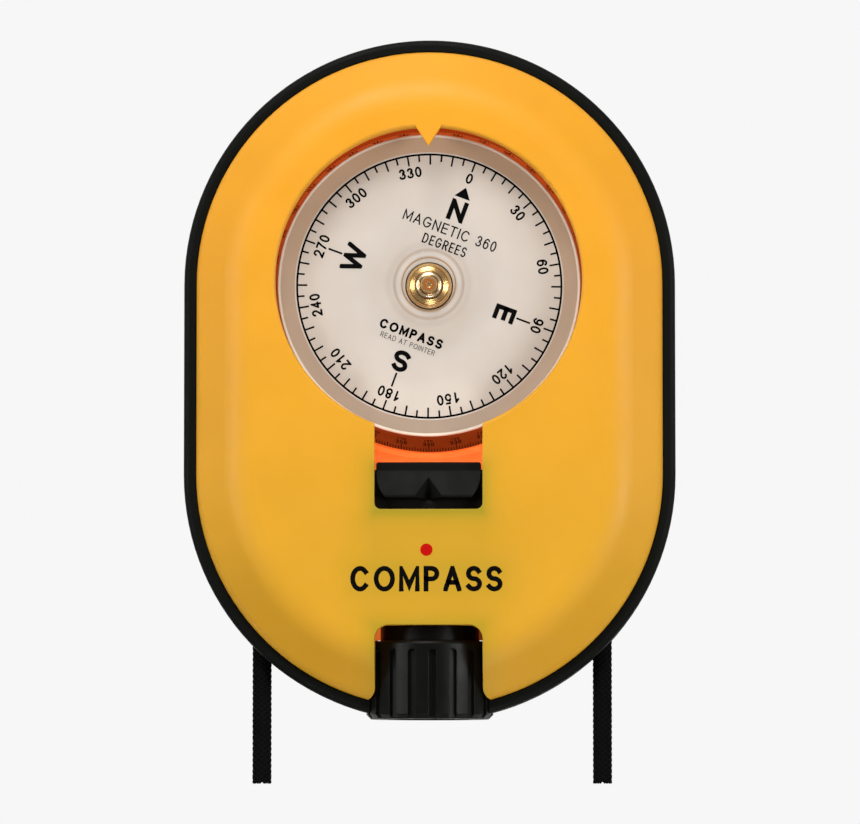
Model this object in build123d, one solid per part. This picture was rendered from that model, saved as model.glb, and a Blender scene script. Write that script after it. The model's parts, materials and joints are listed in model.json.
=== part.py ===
from build123d import *
from math import atan2, cos, radians, sin, tan
import os

os.makedirs("parts", exist_ok=True)

# Handheld bearing compass, lying on its back. Millimetres.
# Origin: where the axis of the compass card meets the back of the case.
# Z runs up out of the dial, Y from the eyepiece towards the far end, X to the right.

# ---- case outline and heights
END_RADIUS = 38.5          # outer radius of both rounded ends
FAR_CENTRE_Y = 0.4         # centre of the far rounded end
NEAR_CENTRE_Y = -29.5      # centre of the rounded end at the eyepiece
CASE_HEIGHT = 21.0
MID_Z = CASE_HEIGHT / 2

BAND_HEIGHT = 8.0          # visible black band round the middle
BAND_ROUNDING = 1.0
COVER_GAP = 0.1            # moulding gap between a cover and the band's lip
COVER_RADIUS = 36.5        # outer radius of the yellow covers
COVER_WALL = 2.0
SEAT_Z = 2.5               # each cover stops this far from the middle plane
SLOPE_TOP_RADIUS = 29.8    # where the flat face would meet the sloping shoulder
SLOPE_FOOT_Z = 15.5        # where the shoulder would meet the side
SLOPE_TOP_ROUNDING = 7.5
SLOPE_FOOT_ROUNDING = 2.6
BEYOND = 1.0               # how far cutting shapes reach past what they cut

# ---- openings in the covers
DIAL_OPENING_RADIUS = 23.9
DIAL_OPENING_Y = 0.5
OPENING_ROUNDING = 0.5
POINTER_TIP_Y = 21.4
POINTER_HALF_WIDTH = 2.2
POINTER_BASE_Y = 24.8
POINTER_THICKNESS = 1.3
SLOT_HALF_WIDTH = 8.4
SLOT_END_Y = -35.27
SLOT_CORNER = 1.0
MOUTH_START_Y = -53.22      # inner end of the cut-out round the eyepiece
MOUTH_CORNER = 2.2
MOUTH_FLARE_Y = -62.9
MOUTH_FLARE = 2.0
MOUTH_WALL = 2.0
MOUTH_BARREL_GAP = 0.27    # free space round the turning barrel in the covers
BAND_BARREL_GAP = 0.14     # and in the black band
INNER_GAP = 0.2            # free space round the optics inside the covers

# ---- screws
BOSS_RADIUS = 2.9
SCREW_RADIUS = 1.1
SCREW_CLEARANCE = 0.12
SCREW_THREAD_GAP = 0.02
SCREW_END_GAP = 0.3
SCREW_HEAD_RADIUS = 2.0
SCREW_HEAD_HEIGHT = 1.3
SCREW_HEAD_SINK = 2.8      # head sits this far inside the back face
SCREW_TOP_Z = 15.5
SCREW_SLOT_LENGTH = 2.6    # cross recess
SCREW_SLOT_WIDTH = 0.6
SCREW_SLOT_DEPTH = 0.7
BOSS_GAP = 0.05            # between the bosses of the two covers
FAR_BOSS_REACH = 31.3      # distance of the two far screws from the far end centre
SIDE_BOSS = (30.6, -22.0)
NEAR_BOSS = (17.5, -51.5)

# ---- capsule
CUP_RADIUS = 28.0
CUP_INNER_RADIUS = 26.4
CUP_BASE_Z = COVER_WALL
CUP_FLOOR = 1.6
CRYSTAL_THICKNESS = 1.8
CAPSULE_CHAMFER = 0.9      # clears the rounding inside both covers
CRYSTAL_TOP_Z = CASE_HEIGHT - COVER_WALL
CRYSTAL_BASE_Z = CRYSTAL_TOP_Z - CRYSTAL_THICKNESS
HUB_POCKET_RADIUS = 4.17
HUB_POCKET_DEPTH = 1.0
RIPPLE_RADIUS = 5.4
RIPPLE_DEPTH = 0.3
SHELF_END_Y = -29.0        # the cup's shelf shows on both sides of the sight's front edge
SHELF_THICKNESS = 1.2
SHELF_HALF_WIDTH = 8.9
TONGUE_HALF_WIDTH = 8.3    # inside the slot the crystal has a flat edge against the sight
TONGUE_END_Y = -27.85
PLUG_RADIUS = 1.7
PLUG_Y = 17.0
PLUG_RECESS_RADIUS = 0.7
PLUG_RECESS_DEPTH = 0.7
PIN_SEAT_DEPTH = 2.5       # how deep the pivot pin is pressed in
LOCATING_RIB_WALL = 1.1
LOCATING_RIB_Z = 4.0
LOCATING_GAP = 0.1

# ---- compass card, turning on a pivot
CARD_TURN = -20.5          # card's north mark, degrees clockwise from +Y
DIAL_Z = 15.0              # printed face
DIAL_THICKNESS = 0.4
DIAL_FLAT_RADIUS = 21.0
BEVEL_RADIUS = 23.25
RIM_RADIUS = 23.7
RIM_Z = 16.5
RIM_THICKNESS = 0.6
RIM_CORNER = 0.12
RIM_STEP = 0.15            # the sloping border ends this far below the rim
DIAL_HOLE_RADIUS = 3.75
SKIRT_BOTTOM_RADIUS = 25.5
SKIRT_BOTTOM_Z = 6.0
SKIRT_WALL = 0.5
HUB_BORE_FIT_RADIUS = 3.5  # where the hub stands in the plate
HUB_FLANGE_RADIUS = 4.6
HUB_SLEEVE_RADIUS = 2.2
HUB_SLEEVE_BORE = 1.3
HUB_SLEEVE_Z = 9.0
HUB_TOP_Z = 17.7
HUB_FLANGE_THICKNESS = 0.5
HUB_STEPS = [              # (radius, height above the dial) from the edge to the neck
    (3.5, 0.0), (3.6, 0.1), (3.5, 0.5), (3.0, 1.0), (2.3, 1.35), (2.15, 1.4), (2.0, 1.75), (1.5, 1.95),
]
HUB_TIP_STEPS = [          # (radius, depth below the top) from the neck to the middle
    (1.4, 0.35), (1.1, 0.0), (0.5, 0.0), (0.35, 0.25), (0.0, 0.25),
]
JEWEL_RADIUS = 1.25
JEWEL_BASE_Z = 13.3
JEWEL_HEIGHT = 2.0
PIVOT_RADIUS = 0.45
PIVOT_TIP_Z = 14.0
PIVOT_TIP_RADIUS = 0.05
PIVOT_POINT = 1.0
PIVOT_GAP = 0.05
JEWEL_MOUTH_RADIUS = 0.8   # wide end of the cone the pivot stands in
JEWEL_SEAT_RADIUS = 0.12
POST_RADIUS = 2.4
POST_TOP_RADIUS = 1.0
POST_TOP_Z = 7.8

MAGNET_Z = 10.25
MAGNET_THICKNESS = 1.5
MAGNET_BORE = 2.9
MAGNET_RADIUS = 9.0
AXLE_RADIUS = 0.35
AXLE_GAP = 0.04
AXLE_END = 4.3
AXLE_END_GAP = 0.1

# ---- optics, all round one axis parallel to Y at mid height
TUNNEL_HALF_WIDTH = 9.0
TUNNEL_BASE_Z = 3.0
TUNNEL_TOP_Z = 17.6
TUNNEL_WALL = 1.4
TUNNEL_START_Y = -26.0
TUNNEL_END_Y = -50.0
HOUSING_RADIUS = 8.3
HOUSING_END_Y = -53.0
SHOULDER_HALF_WIDTH = 8.9  # flat shoulders beside the eyepiece's neck
SHOULDER_HALF_HEIGHT = 1.0
SHOULDER_END_Y = -55.35
NECK_RADIUS = 7.75
NECK_BORE = 6.0
NECK_START_Y = -50.2
NECK_GAP = 0.02
SLEEVE_RADIUS = 8.1
SLEEVE_BORE = 7.2
SLEEVE_START_Y = -55.5
SLEEVE_END_Y = -65.8
SEAL_Y = -57.0
SEAL_RADIUS = 0.2
SEAL_GROOVE_DEPTH = 0.4
RING_GAP = 0.06
RING_RADIUS = 9.93
RING_START_Y = -55.6
RING_END_Y = -67.72
RING_FLANGE = 0.9
RING_EYE_RADIUS = 6.7
RING_FRONT_ROUNDING = 0.6
RING_END_CHAMFER = 0.7
GROOVE_COUNT = 19
GROOVE_PHASE = 3.6         # first groove, degrees from the top towards +X
GROOVE_WIDTH = 1.2
GROOVE_DEPTH = 0.6
GROOVE_START_Y = -56.85
CAM_Y = -61.0
CAM_TRAVEL = 1.8
CAM_RADIUS = 0.7
CAM_GROOVE_RADIUS = 8.85
CELL_GAP = 0.06
CELL_BORE = 6.3
CELL_START_Y = -58.0
CELL_END_Y = -64.0
CELL_LIP = 0.8             # how far the seat and the retainer reach over the lens
CELL_SEAT = 0.9
LENS_GAP = 0.35            # clears the curved face of the lens under both lips
RETAINER_WIDTH = 1.0
LENS_RADIUS = 6.25
LENS_EDGE = 1.3
LENS_CENTRE = 3.4
CLIP_START_Y = -65.0
CLIP_WIDTH = 0.6
CLIP_RADIUS = 8.6
RETICLE_Y = -29.2
RETICLE_THICKNESS = 0.9

# ---- rear sight
SIGHT_HALF_WIDTH = 8.15
SIGHT_FRONT_Y = -27.9
SIGHT_FRONT_CORNER = 0.4
SIGHT_LEDGE_Y = -29.2
SIGHT_LEDGE_Z = 19.35
SIGHT_SIDE_Y = -29.6       # where the sides start to curve in
SIGHT_CREST_HALF_WIDTH = 6.5
SIGHT_CREST_Y = -33.1
SIGHT_CREST_Z = 20.95
SIGHT_REAR_Y = -33.65
SIGHT_FOOT_Z = 18.7        # floor of the slot round the sight
SIGHT_FOOT_END_Y = -36.6
NOTCH_START_Y = -30.25
NOTCH_HALF_WIDTH = 2.25
NOTCH_END_Y = -34.4
NOTCH_DEEP_Z = 18.2

# ---- lanyard
LEFT_CORD_X = -26.3
RIGHT_CORD_X = 27.0
CORD_RADIUS = 1.5
CORD_HOLE_RADIUS = 1.65
CORD_PIVOT_Y = -60.3
CORD_END_Y = -77.5
KNOT_RADIUS = 2.3
KNOT_Y = -46.5


# ------------------------------------------------------------------ helpers

def racetrack(section):
    """Carry a half section, drawn in the XZ plane from the middle outwards, round the case outline."""
    far_end = Pos(0, FAR_CENTRE_Y, 0) * revolve(section, Axis.Z, 180)
    near_end = Pos(0, NEAR_CENTRE_Y, 0) * Rot(0, 0, 180) * revolve(section, Axis.Z, 180)
    length = FAR_CENTRE_Y - NEAR_CENTRE_Y
    right = Pos(0, FAR_CENTRE_Y, 0) * extrude(section, length, dir=(0, -1, 0))
    return far_end + near_end + right + mirror(right, Plane.YZ)


def section_face(*points):
    """Flat face in the XZ plane through (x, z) corner points."""
    return make_face(Polyline([(x, 0, z) for x, z in points], close=True))


def turned(*points):
    """Solid of revolution about Z from (radius, z) corner points."""
    return revolve(section_face(*points), Axis.Z)


def rod(radius, y_from, y_to, x=0.0, z=MID_Z):
    """Cylinder along Y between two Y positions."""
    length = abs(y_to - y_from)
    return Pos(x, (y_from + y_to) / 2, z) * Rot(90, 0, 0) * Cylinder(radius, length)


def tube(radius, bore, y_from, y_to):
    """Tube on the optical axis."""
    return rod(radius, y_from, y_to) - rod(bore, y_from, y_to)


def post(radius, z_from, z_to, x=0.0, y=0.0):
    """Upright cylinder."""
    return Pos(x, y, (z_from + z_to) / 2) * Cylinder(radius, z_to - z_from)


def block(x_half, y_from, y_to, z_from, z_to):
    """Box centred on x = 0."""
    size_y = abs(y_to - y_from)
    return Pos(0, (y_from + y_to) / 2, (z_from + z_to) / 2) * Box(2 * x_half, size_y, z_to - z_from)


def both_sides(shape):
    """A shape and its mirror image across x = 0."""
    return shape + mirror(shape, Plane.YZ)


def flipped(shape):
    """Turn a front-cover shape over about the middle plane."""
    return mirror(shape, Plane.XY.offset(MID_Z))


def save(shape, name):
    """Write one named piece."""
    export_step(shape, f"parts/{name}.step")


def boss_places():
    """Screw positions on the +X side."""
    far_x = FAR_BOSS_REACH * cos(radians(45))
    far_y = FAR_CENTRE_Y + FAR_BOSS_REACH * sin(radians(45))
    return [(far_x, far_y), SIDE_BOSS, NEAR_BOSS]


# ------------------------------------------------------------------ covers and band

def corner(face, x, z):
    """The corner of a half section at (x, z)."""
    return [v for v in face.vertices() if abs(v.X - x) < 0.001 and abs(v.Z - z) < 0.001]


def cover_blank(inset):
    """Solid cover shape, every outer wall moved inwards by inset."""
    slope = atan2(CASE_HEIGHT - SLOPE_FOOT_Z, COVER_RADIUS - SLOPE_TOP_RADIUS)
    side = COVER_RADIUS - inset
    top = CASE_HEIGHT - inset
    shoulder_x = SLOPE_TOP_RADIUS - inset * tan(slope / 2)
    foot_z = SLOPE_FOOT_Z - inset * tan((radians(90) - slope) / 2)
    seat = MID_Z + SEAT_Z
    face = section_face((0, seat), (side, seat), (side, foot_z), (shoulder_x, top), (0, top))
    face = fillet(corner(face, shoulder_x, top), SLOPE_TOP_ROUNDING - inset)
    face = fillet(corner(face, side, foot_z), SLOPE_FOOT_ROUNDING - inset)
    return racetrack(face)


def eyepiece_mouth():
    """Space cut out of both covers for the eyepiece, open at the near end."""
    beyond = 2 * RING_END_Y
    straight = block(SLOT_HALF_WIDTH, MOUTH_START_Y, beyond, -BEYOND, CASE_HEIGHT + BEYOND)
    straight = fillet(straight.edges().filter_by(Axis.Z).group_by(Axis.Y)[-1], MOUTH_CORNER)
    flare_x = SLOT_HALF_WIDTH + MOUTH_FLARE
    flare = block(flare_x, MOUTH_FLARE_Y, beyond, -BEYOND, CASE_HEIGHT + BEYOND)
    flare -= both_sides(post(MOUTH_FLARE, -2 * BEYOND, CASE_HEIGHT + 2 * BEYOND, flare_x, MOUTH_FLARE_Y))
    barrel = rod(RING_RADIUS + MOUTH_BARREL_GAP, MOUTH_START_Y, beyond)
    return straight + flare + barrel


def shoulders(half_width, half_height):
    """Flat-topped block beside the eyepiece's neck."""
    return block(half_width, TUNNEL_END_Y + 1, SHOULDER_END_Y, MID_Z - half_height, MID_Z + half_height)


def cover_shell():
    """Hollow cover with the eyepiece cut-out and its side walls."""
    blank = cover_blank(0)
    shell = blank - cover_blank(COVER_WALL)
    wall_half_width = RING_RADIUS + MOUTH_WALL
    wall_start_y = MOUTH_START_Y + MOUTH_WALL
    wall = block(wall_half_width, wall_start_y, 2 * RING_END_Y, MID_Z, CASE_HEIGHT) & blank
    wall -= rod(HOUSING_RADIUS + INNER_GAP, TUNNEL_END_Y, MOUTH_START_Y)
    wall -= shoulders(SHOULDER_HALF_WIDTH + INNER_GAP, SHOULDER_HALF_HEIGHT + INNER_GAP)
    return shell + wall - eyepiece_mouth()


def below_seat(z_from):
    """Wide block inside the cover, from a height up to where the shoulder's slope begins."""
    return block(END_RADIUS, NEAR_CENTRE_Y - END_RADIUS, FAR_CENTRE_Y + END_RADIUS, z_from, z_from + SEAT_Z + BEYOND)


def front_cover():
    cover = cover_shell()
    trim = cover_blank(COVER_WALL / 2)
    for x, y in boss_places():
        boss = post(BOSS_RADIUS, MID_Z, CASE_HEIGHT, x, y) & trim.fuse(below_seat(MID_Z))
        cover += both_sides(boss)
    for x, y in boss_places():
        cover -= both_sides(post(SCREW_RADIUS + SCREW_THREAD_GAP, MID_Z - BEYOND, SCREW_TOP_Z + SCREW_END_GAP, x, y))

    dial_opening = post(DIAL_OPENING_RADIUS, MID_Z, CASE_HEIGHT + BEYOND, 0, DIAL_OPENING_Y)
    slot = block(SLOT_HALF_WIDTH, SLOT_END_Y, 0, MID_Z, CASE_HEIGHT + BEYOND)
    slot = fillet(slot.edges().filter_by(Axis.Z).group_by(Axis.Y)[0], SLOT_CORNER)
    cover -= dial_opening + slot
    rim = cover.edges().filter_by(GeomType.CIRCLE)
    rim = [e for e in rim if abs(e.radius - DIAL_OPENING_RADIUS) < 0.001]
    rim = [e for e in rim if abs(e.center().Z - CASE_HEIGHT) < 0.001]
    cover = fillet(rim, OPENING_ROUNDING)

    tip = (0, POINTER_TIP_Y)
    base_x = POINTER_HALF_WIDTH
    outline = [tip, (base_x, POINTER_BASE_Y), (base_x, POINTER_BASE_Y + BEYOND)]
    outline += [(-base_x, POINTER_BASE_Y + BEYOND), (-base_x, POINTER_BASE_Y)]
    pointer = extrude(make_face(Polyline(outline, close=True)), POINTER_THICKNESS)
    return cover + Pos(0, 0, CASE_HEIGHT - POINTER_THICKNESS) * pointer


def rear_cover():
    cover = flipped(cover_shell())
    trim = flipped(cover_blank(COVER_WALL / 2).fuse(below_seat(MID_Z)))
    for x, y in boss_places():
        cover += both_sides(post(BOSS_RADIUS, 0, MID_Z - BOSS_GAP, x, y) & trim)
    rib_inner = CUP_RADIUS + LOCATING_GAP
    locating_rib = post(rib_inner + LOCATING_RIB_WALL, COVER_WALL / 2, LOCATING_RIB_Z)
    locating_rib -= post(rib_inner, 0, LOCATING_RIB_Z + BEYOND)
    tunnel_space = block(TUNNEL_HALF_WIDTH + INNER_GAP, TUNNEL_START_Y, TUNNEL_END_Y, CUP_BASE_Z, MID_Z)
    cover += (locating_rib - tunnel_space) & flipped(cover_blank(COVER_WALL / 2))
    head_seat_z = SCREW_HEAD_SINK + SCREW_HEAD_HEIGHT
    for x, y in boss_places():
        hole = post(SCREW_RADIUS + SCREW_CLEARANCE, -BEYOND, MID_Z + BEYOND, x, y)
        hole += post(SCREW_HEAD_RADIUS + INNER_GAP, -BEYOND, head_seat_z, x, y)
        cover -= both_sides(hole)
    return cover


def case_band():
    half = BAND_HEIGHT / 2
    lip_inner = COVER_RADIUS + COVER_GAP
    web_inner = COVER_RADIUS - COVER_WALL
    face = section_face(
        (web_inner, MID_Z - SEAT_Z), (lip_inner, MID_Z - SEAT_Z), (lip_inner, MID_Z - half),
        (END_RADIUS, MID_Z - half), (END_RADIUS, MID_Z + half), (lip_inner, MID_Z + half),
        (lip_inner, MID_Z + SEAT_Z), (web_inner, MID_Z + SEAT_Z),
    )
    edges = corner(face, END_RADIUS, MID_Z - half) + corner(face, END_RADIUS, MID_Z + half)
    band = racetrack(fillet(edges, BAND_ROUNDING))
    band -= rod(RING_RADIUS + BAND_BARREL_GAP, MOUTH_START_Y, 2 * RING_END_Y)
    for x in (LEFT_CORD_X, RIGHT_CORD_X):
        band -= rod(CORD_HOLE_RADIUS, KNOT_Y, CORD_PIVOT_Y, x)
    return band


def cover_screws():
    head_z = SCREW_HEAD_SINK
    shank_z = head_z + SCREW_HEAD_HEIGHT
    screw = post(SCREW_HEAD_RADIUS, head_z, shank_z) + post(SCREW_RADIUS, shank_z, SCREW_TOP_Z)
    depth = 2 * SCREW_SLOT_DEPTH
    recess = Box(SCREW_SLOT_LENGTH, SCREW_SLOT_WIDTH, depth) + Box(SCREW_SLOT_WIDTH, SCREW_SLOT_LENGTH, depth)
    screw -= Pos(0, 0, head_z) * recess
    places = [(side * x, y) for x, y in boss_places() for side in (1, -1)]
    return Compound(children=[Pos(x, y, 0) * screw for x, y in places])


# ------------------------------------------------------------------ capsule

def capsule_cup():
    wall_top = CRYSTAL_BASE_Z
    cup = post(CUP_RADIUS, CUP_BASE_Z, wall_top)
    cup = chamfer(cup.edges().group_by(Axis.Z)[0], CAPSULE_CHAMFER)
    floor_top = CUP_BASE_Z + CUP_FLOOR
    cup -= post(CUP_INNER_RADIUS, floor_top, wall_top + BEYOND)
    pivot_post = turned(
        (0, CUP_BASE_Z), (POST_RADIUS, CUP_BASE_Z), (POST_RADIUS, floor_top),
        (POST_TOP_RADIUS, POST_TOP_Z), (0, POST_TOP_Z),
    )
    cup += pivot_post
    cup -= post(PIVOT_RADIUS, POST_TOP_Z - PIN_SEAT_DEPTH, POST_TOP_Z + BEYOND)
    cup -= post(PLUG_RADIUS, 0, floor_top + BEYOND, 0, PLUG_Y)
    shelf = block(SHELF_HALF_WIDTH, TUNNEL_START_Y + BEYOND, SHELF_END_Y, wall_top - SHELF_THICKNESS, wall_top)
    return cup + (shelf - post(CUP_INNER_RADIUS, 0, CASE_HEIGHT))


def capsule_crystal():
    pane = post(CUP_RADIUS, CRYSTAL_BASE_Z, CRYSTAL_TOP_Z)
    pane = chamfer(pane.edges().group_by(Axis.Z)[-1], CAPSULE_CHAMFER)
    pane += block(TONGUE_HALF_WIDTH, TUNNEL_START_Y + BEYOND, TONGUE_END_Y, CRYSTAL_BASE_Z, CRYSTAL_TOP_Z)
    pane -= block(TONGUE_HALF_WIDTH, TONGUE_END_Y, -CUP_RADIUS - BEYOND, CUP_BASE_Z, CASE_HEIGHT)
    pane += post(RIPPLE_RADIUS, CRYSTAL_BASE_Z - RIPPLE_DEPTH, CRYSTAL_BASE_Z)
    pane -= post(HUB_POCKET_RADIUS, CRYSTAL_BASE_Z - BEYOND, CRYSTAL_BASE_Z + HUB_POCKET_DEPTH)
    ring = pane.edges().filter_by(GeomType.CIRCLE)
    ring = [e for e in ring if abs(e.center().Z - CRYSTAL_BASE_Z + RIPPLE_DEPTH) < 0.001]
    return fillet([e for e in ring if abs(e.radius - RIPPLE_RADIUS) < 0.001], RIPPLE_DEPTH * 0.9)


def filler_plug():
    floor_top = CUP_BASE_Z + CUP_FLOOR
    plug = post(PLUG_RADIUS, CUP_BASE_Z, floor_top, 0, PLUG_Y)
    return plug - post(PLUG_RECESS_RADIUS, 0, CUP_BASE_Z + PLUG_RECESS_DEPTH, 0, PLUG_Y)


def pivot_pin():
    cone_z = PIVOT_TIP_Z - PIVOT_POINT
    foot_z = POST_TOP_Z - PIN_SEAT_DEPTH
    tip = (PIVOT_TIP_RADIUS, PIVOT_TIP_Z)
    return turned((0, foot_z), (PIVOT_RADIUS, foot_z), (PIVOT_RADIUS, cone_z), tip, (0, PIVOT_TIP_Z))


# ------------------------------------------------------------------ card and magnet

def dial_plate():
    """Pressed plate with a raised, sloping border."""
    back = DIAL_Z - DIAL_THICKNESS
    under_rim = RIM_Z - RIM_THICKNESS
    return turned(
        (DIAL_HOLE_RADIUS, back), (DIAL_FLAT_RADIUS + DIAL_THICKNESS / 2, back), (BEVEL_RADIUS, under_rim),
        (RIM_RADIUS, under_rim), (RIM_RADIUS, RIM_Z - RIM_CORNER), (RIM_RADIUS - RIM_CORNER, RIM_Z),
        (BEVEL_RADIUS, RIM_Z), (BEVEL_RADIUS - RIM_STEP, RIM_Z - RIM_STEP),
        (DIAL_FLAT_RADIUS, DIAL_Z), (DIAL_HOLE_RADIUS, DIAL_Z),
    )


def scale_skirt():
    """Conical skirt under the plate; the bearing scale goes round its outside."""
    top = RIM_Z - RIM_THICKNESS
    return turned(
        (RIM_RADIUS, top), (SKIRT_BOTTOM_RADIUS, SKIRT_BOTTOM_Z),
        (SKIRT_BOTTOM_RADIUS - SKIRT_WALL, SKIRT_BOTTOM_Z), (BEVEL_RADIUS, top),
    )


def card_turned(shape):
    """Turn something drawn with north on +Y to where the card points."""
    return Rot(0, 0, CARD_TURN) * shape


def card_hub():
    back = DIAL_Z - DIAL_THICKNESS
    flange_z = back - HUB_FLANGE_THICKNESS
    hub = turned(
        (0, HUB_SLEEVE_Z), (HUB_SLEEVE_RADIUS, HUB_SLEEVE_Z), (HUB_SLEEVE_RADIUS, flange_z),
        (HUB_FLANGE_RADIUS, flange_z), (HUB_FLANGE_RADIUS, back), (HUB_BORE_FIT_RADIUS, back),
        *[(radius, DIAL_Z + height) for radius, height in HUB_STEPS],
        *[(radius, HUB_TOP_Z - depth) for radius, depth in HUB_TIP_STEPS],
    )
    hub -= post(HUB_SLEEVE_BORE, HUB_SLEEVE_Z - BEYOND, JEWEL_BASE_Z)
    hub -= post(JEWEL_RADIUS, JEWEL_BASE_Z - BEYOND, JEWEL_BASE_Z + JEWEL_HEIGHT)
    return hub - card_turned(Pos(0, 0, MAGNET_Z) * Rot(0, 90, 0) * Cylinder(AXLE_RADIUS, 2 * AXLE_END))


def jewel_cup():
    cup = post(JEWEL_RADIUS, JEWEL_BASE_Z, JEWEL_BASE_Z + JEWEL_HEIGHT)
    seat_z = PIVOT_TIP_Z + PIVOT_GAP
    mouth = (JEWEL_MOUTH_RADIUS, JEWEL_BASE_Z)
    return cup - turned((0, JEWEL_BASE_Z), mouth, (JEWEL_SEAT_RADIUS, seat_z), (0, seat_z))


def magnet_axle():
    """Two stub pins, pressed into the hub's sleeve, on the card's east-west line."""
    length = AXLE_END - HUB_SLEEVE_BORE
    stub = Pos(HUB_SLEEVE_BORE + length / 2, 0, MAGNET_Z) * Rot(0, 90, 0) * Cylinder(AXLE_RADIUS, length)
    return Compound(children=[card_turned(stub), card_turned(mirror(stub, Plane.YZ))])


def magnet():
    low = MAGNET_Z - MAGNET_THICKNESS / 2
    high = MAGNET_Z + MAGNET_THICKNESS / 2
    disc = post(MAGNET_RADIUS, low, high) - post(MAGNET_BORE, low - BEYOND, high + BEYOND)
    hole_length = 2 * (AXLE_END + AXLE_END_GAP)
    stub_hole = Pos(0, 0, MAGNET_Z) * Rot(0, 90, 0) * Cylinder(AXLE_RADIUS + AXLE_GAP, hole_length)
    return disc - card_turned(stub_hole)


# ------------------------------------------------------------------ optics

def optics_body():
    """Clear duct from the capsule to the eyepiece; it gathers light for the bearing scale."""
    duct = block(TUNNEL_HALF_WIDTH, TUNNEL_START_Y, TUNNEL_END_Y, TUNNEL_BASE_Z, TUNNEL_TOP_Z)
    duct -= post(CUP_RADIUS + 0.05, 0, CASE_HEIGHT)
    shelf_z = CRYSTAL_BASE_Z - SHELF_THICKNESS - 0.1
    duct -= block(TUNNEL_HALF_WIDTH + 1, TUNNEL_START_Y + 1, SHELF_END_Y - 0.05, shelf_z, CASE_HEIGHT)
    duct += rod(HOUSING_RADIUS, TUNNEL_END_Y + 1, HOUSING_END_Y)
    duct += shoulders(SHOULDER_HALF_WIDTH, SHOULDER_HALF_HEIGHT)
    duct -= block(
        TUNNEL_HALF_WIDTH - TUNNEL_WALL, TUNNEL_START_Y + 1, TUNNEL_END_Y + TUNNEL_WALL,
        TUNNEL_BASE_Z + TUNNEL_WALL, TUNNEL_TOP_Z - TUNNEL_WALL,
    )
    duct -= rod(NECK_BORE, TUNNEL_END_Y + 4, NECK_START_Y - 1)
    return duct - rod(NECK_RADIUS + NECK_GAP, NECK_START_Y, SHOULDER_END_Y - 1)


def eyepiece_sleeve():
    """Black tube the focus ring turns on, with its neck pressed into the clear body."""
    sleeve = rod(NECK_RADIUS, NECK_START_Y, SLEEVE_START_Y)
    sleeve += rod(SLEEVE_RADIUS, SLEEVE_START_Y, SLEEVE_END_Y)
    sleeve -= rod(NECK_BORE, NECK_START_Y + 1, SLEEVE_START_Y - 1)
    sleeve -= rod(SLEEVE_BORE, SLEEVE_START_Y - 0.25, SLEEVE_END_Y - 1)
    slot_reach = CAM_TRAVEL + CAM_RADIUS + 0.1
    sleeve -= block(CAM_RADIUS + 0.05, CAM_Y - slot_reach, CAM_Y + slot_reach, MID_Z + 5, MID_Z + 9)
    floor_radius = SLEEVE_RADIUS - SEAL_GROOVE_DEPTH
    seal_half = SEAL_RADIUS + 0.15
    sleeve -= tube(SLEEVE_RADIUS + 0.1, floor_radius, SEAL_Y + seal_half, SEAL_Y - seal_half)
    return sleeve - tube(SLEEVE_RADIUS + 0.1, floor_radius, CLIP_START_Y, CLIP_START_Y - CLIP_WIDTH)


def focus_seal():
    centre_radius = SLEEVE_RADIUS - 0.17
    return Pos(0, SEAL_Y, MID_Z) * Rot(90, 0, 0) * Torus(centre_radius, SEAL_RADIUS)


def ring_clip():
    inner = SLEEVE_RADIUS - SEAL_GROOVE_DEPTH + 0.02
    clip = tube(CLIP_RADIUS, inner, CLIP_START_Y - 0.02, CLIP_START_Y - CLIP_WIDTH + 0.02)
    opening = block(1.5, CLIP_START_Y + 1, CLIP_START_Y - 2, 0, MID_Z)
    return clip - opening


def focus_ring():
    """Ribbed barrel the thumb turns."""
    ring = rod(RING_RADIUS, RING_START_Y, RING_END_Y)
    rims = ring.edges().filter_by(GeomType.CIRCLE).sort_by(Axis.Y)
    ring = chamfer(rims[0], RING_END_CHAMFER)
    rims = ring.edges().filter_by(GeomType.CIRCLE).sort_by(Axis.Y)
    ring = fillet(rims[-1], RING_FRONT_ROUNDING)
    flange_y = RING_END_Y + RING_FLANGE
    ring -= rod(SLEEVE_RADIUS + RING_GAP, RING_START_Y + 1, flange_y)
    ring -= rod(RING_EYE_RADIUS, flange_y + 1, RING_END_Y - 1)
    ring -= rod(CLIP_RADIUS + 0.12, CLIP_START_Y + 0.1, flange_y)
    groove_reach = CAM_TRAVEL + CAM_RADIUS + 0.3
    ring -= rod(CAM_GROOVE_RADIUS, CAM_Y - groove_reach, CAM_Y + groove_reach)

    half = GROOVE_WIDTH / 2
    floor_z = MID_Z + RING_RADIUS - GROOVE_DEPTH
    cut = block(half, GROOVE_START_Y - half, RING_END_Y - 1, floor_z, CASE_HEIGHT + 1)
    cut += post(half, floor_z, CASE_HEIGHT + 1, 0, GROOVE_START_Y - half)
    axis = Axis((0, 0, MID_Z), (0, 1, 0))
    for i in range(GROOVE_COUNT):
        ring -= cut.rotate(axis, GROOVE_PHASE + i * 360 / GROOVE_COUNT)
    return ring


def lens_cell():
    cell = rod(SLEEVE_BORE - CELL_GAP, CELL_START_Y, CELL_END_Y)
    cell -= rod(CELL_BORE, CELL_START_Y - CELL_SEAT, CELL_END_Y - 1)
    cell -= rod(CELL_BORE - CELL_LIP, CELL_START_Y + 1, CELL_END_Y)
    return cell - post(CAM_RADIUS, MID_Z, MID_Z + 8, 0, CAM_Y)


def cam_pin():
    return post(CAM_RADIUS, MID_Z + CELL_BORE + 0.1, MID_Z + CAM_GROOVE_RADIUS - 0.1, 0, CAM_Y)


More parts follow.
